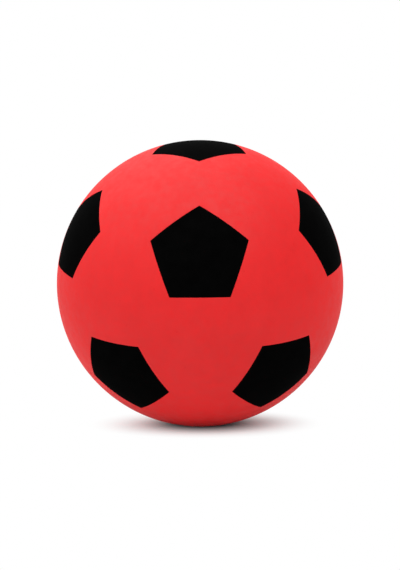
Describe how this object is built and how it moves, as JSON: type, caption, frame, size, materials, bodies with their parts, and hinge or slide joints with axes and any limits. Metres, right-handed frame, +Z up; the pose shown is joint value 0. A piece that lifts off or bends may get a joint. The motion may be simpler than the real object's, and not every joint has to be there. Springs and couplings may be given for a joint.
{
  "type": "foam soccer ball",
  "caption": "Soft foam play ball with a closed matte red skin and a flush pattern of black pentagons, for kicking and catching indoors.",
  "frame": {"origin": "centre of the ball", "axes": "+Z up as the ball stands in the picture, -Y towards the camera's side, where the front pentagon looks out and a little up, +X to the right of that view"},
  "size_m": [0.2, 0.2, 0.2],
  "materials": {
    "core_foam": "open-cell foam",
    "red_skin": "matte",
    "black_pentagon": "matte"
  },
  "bodies": {
    "root": {"foam_core": "core_foam", "red_skin": "red_skin", "front_pentagon": "black_pentagon", "top_pentagon": "black_pentagon", "upper_left_pentagon": "black_pentagon", "lower_left_pentagon": "black_pentagon", "lower_right_pentagon": "black_pentagon", "upper_right_pentagon": "black_pentagon", "rear_pentagon": "black_pentagon", "bottom_pentagon": "black_pentagon", "rear_lower_left_pentagon": "black_pentagon", "rear_upper_left_pentagon": "black_pentagon", "rear_upper_right_pentagon": "black_pentagon", "rear_lower_right_pentagon": "black_pentagon"}
  },
  "joints": []
}
